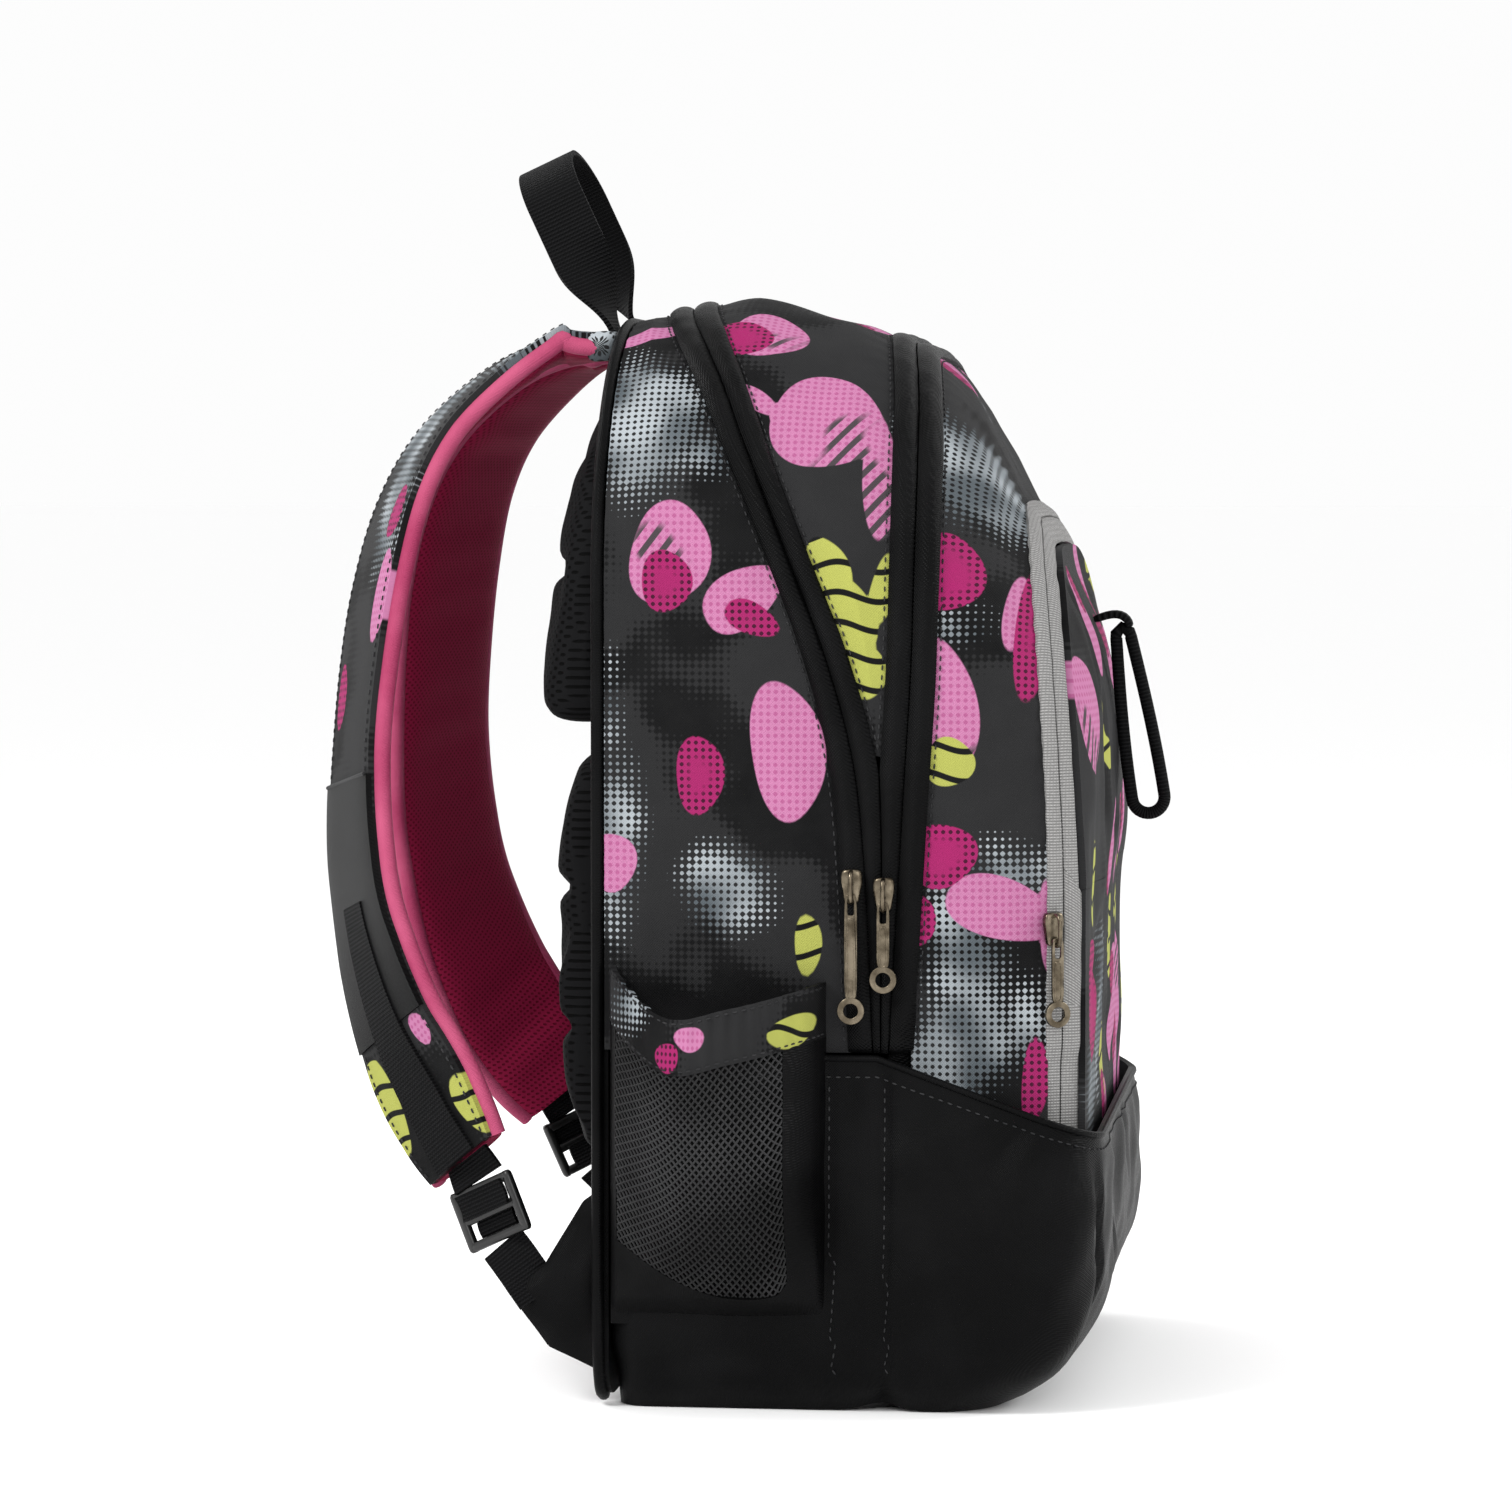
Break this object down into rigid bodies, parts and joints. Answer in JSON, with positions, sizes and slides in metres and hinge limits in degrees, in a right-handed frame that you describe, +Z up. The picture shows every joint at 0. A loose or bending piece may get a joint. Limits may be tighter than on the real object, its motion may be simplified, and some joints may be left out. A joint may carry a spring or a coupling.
{
  "type": "school backpack",
  "caption": "School backpack with zipped compartments, a domed front pocket, net side pockets, padded back and straps, a grab handle and a black base",
  "frame": {"origin": "on the flat base, under the point 100 mm ahead of the back panel, on the plane of symmetry", "axes": "+Z up, the front of the bag faces -Y, the straps are on +Y, -X is the wearer's left"},
  "size_m": [0.3808, 0.3553, 0.525],
  "materials": {
    "printed_fabric": "printed polyester, matt",
    "black_fabric": "black polyester, matt",
    "black_webbing": "woven webbing, matt",
    "black_zip_tape": "coil zip tape, matt",
    "silver_zip_tape": "grey zip tape, matt",
    "pink_lining": "air mesh, matt",
    "pocket_net": "open net, matt",
    "inner_lining": "thin lining, matt",
    "antique_metal": "antique plated",
    "black_plastic": "satin acetal",
    "board": "grey polyethylene sheet"
  },
  "bodies": {
    "bag_back": {"back_panel": "black_fabric", "back_stiffener": "board", "upper_back_pad": "black_fabric", "lower_back_pad_left": "black_fabric", "lower_back_pad_right": "black_fabric", "rear_gusset": "printed_fabric", "rear_piping": "black_fabric", "base_tub": "black_fabric", "base_stiffener": "board", "lower_partition": "inner_lining", "side_pocket_left": "pocket_net", "side_pocket_right": "pocket_net", "side_pocket_band_left": "printed_fabric", "side_pocket_band_right": "printed_fabric", "main_zip_rear_tape": "black_zip_tape", "strap_yoke": "printed_fabric", "strap_wing_left": "black_fabric", "strap_wing_right": "black_fabric"},
    "mid_section": {"mid_gusset": "printed_fabric", "mid_partition": "inner_lining", "main_zip_front_tape": "black_zip_tape", "second_zip_rear_tape": "black_zip_tape"},
    "front_section": {"front_gusset": "printed_fabric", "pocket_divider": "inner_lining", "front_lower_panel": "printed_fabric", "second_zip_front_tape": "black_zip_tape", "pocket_zip_rear_tape": "silver_zip_tape"},
    "flap": {"pocket_flap": "printed_fabric", "pocket_zip_front_tape": "silver_zip_tape", "loop_tab": "black_webbing"},
    "hanging_loop": {"front_loop": "black_webbing"},
    "handle": {"grab_handle": "black_webbing"},
    "strap_left": {"strap_pad_left": "printed_fabric", "strap_lining_left": "pink_lining", "strap_webbing_left": "black_webbing", "lock_webbing_left": "black_webbing", "lower_webbing_left": "black_webbing"},
    "strap_right": {"strap_pad_right": "printed_fabric", "strap_lining_right": "pink_lining", "strap_webbing_right": "black_webbing", "lock_webbing_right": "black_webbing", "lower_webbing_right": "black_webbing"},
    "lock_left": {"ladder_lock_left": "black_plastic"},
    "lock_right": {"ladder_lock_right": "black_plastic"},
    "main_slider": {"main_zip_slider": "antique_metal"},
    "main_pull": {"main_zip_pull": "antique_metal"},
    "second_slider": {"second_zip_slider": "antique_metal"},
    "second_pull": {"second_zip_pull": "antique_metal"},
    "pocket_slider": {"pocket_zip_slider": "antique_metal"},
    "pocket_pull": {"pocket_zip_pull": "antique_metal"}
  },
  "joints": [
    {"name": "main_open", "type": "hinge", "parent": "bag_back", "child": "mid_section", "pos_m": [0, -0.013, 0.148], "axis": [1, 0, 0], "range_deg": [0, 25]},
    {"name": "second_open", "type": "hinge", "parent": "mid_section", "child": "front_section", "pos_m": [0, -0.013, 0.148], "axis": [1, 0, 0], "range_deg": [0, 16]},
    {"name": "pocket_open", "type": "hinge", "parent": "front_section", "child": "flap", "pos_m": [0, -0.0991, 0.215], "axis": [1, 0, 0], "range_deg": [0, 35]},
    {"name": "loop_swing", "type": "hinge", "parent": "flap", "child": "hanging_loop", "pos_m": [0, -0.1034, 0.3215], "axis": [-1, 0, 0], "range_deg": [0, 95]},
    {"name": "handle_flop", "type": "hinge", "parent": "bag_back", "child": "handle", "pos_m": [0, 0.1115, 0.4462], "axis": [1, 0, 0], "range_deg": [-45, 55]},
    {"name": "strap_swing_left", "type": "hinge", "parent": "bag_back", "child": "strap_left", "pos_m": [-0.054, 0.1168, 0.4385], "axis": [-0.2037, 0.0435, -0.9781], "range_deg": [-15, 15]},
    {"name": "lock_tilt_left", "type": "hinge", "parent": "strap_left", "child": "lock_left", "pos_m": [-0.1265, 0.1555, 0.0905], "axis": [0.4378, 0.8054, -0.3994], "range_deg": [0, 15]},
    {"name": "strap_swing_right", "type": "hinge", "parent": "bag_back", "child": "strap_right", "pos_m": [0.054, 0.1168, 0.4385], "axis": [0.2037, 0.0435, -0.9781], "range_deg": [-15, 15]},
    {"name": "lock_tilt_right", "type": "hinge", "parent": "strap_right", "child": "lock_right", "pos_m": [0.1265, 0.1555, 0.0905], "axis": [0.4378, -0.8054, 0.3994], "range_deg": [0, 15]},
    {"name": "main_zip_slide", "type": "slide", "parent": "bag_back", "child": "main_slider", "axis": [0, 0.093, 0.9957], "range_m": [0, 0.05]},
    {"name": "main_pull_swing", "type": "hinge", "parent": "main_slider", "child": "main_pull", "pos_m": [-0.155, -0.00267, 0.21317], "axis": [0, 1, 0], "range_deg": [0, 150]},
    {"name": "second_zip_slide", "type": "slide", "parent": "mid_section", "child": "second_slider", "axis": [0, -0.0565, 0.9984], "range_m": [0, 0.11]},
    {"name": "second_pull_swing", "type": "hinge", "parent": "second_slider", "child": "second_pull", "pos_m": [-0.15491, -0.01582, 0.20992], "axis": [0, 1, 0], "range_deg": [0, 150]},
    {"name": "pocket_zip_slide", "type": "slide", "parent": "front_section", "child": "pocket_slider", "axis": [-0.056, 0.002, 0.9984], "range_m": [0, 0.045]},
    {"name": "pocket_pull_swing", "type": "hinge", "parent": "pocket_slider", "child": "pocket_pull", "pos_m": [-0.14059, -0.08576, 0.19515], "axis": [-0.5036, 0.8634, -0.0296], "range_deg": [0, 150]}
  ]
}
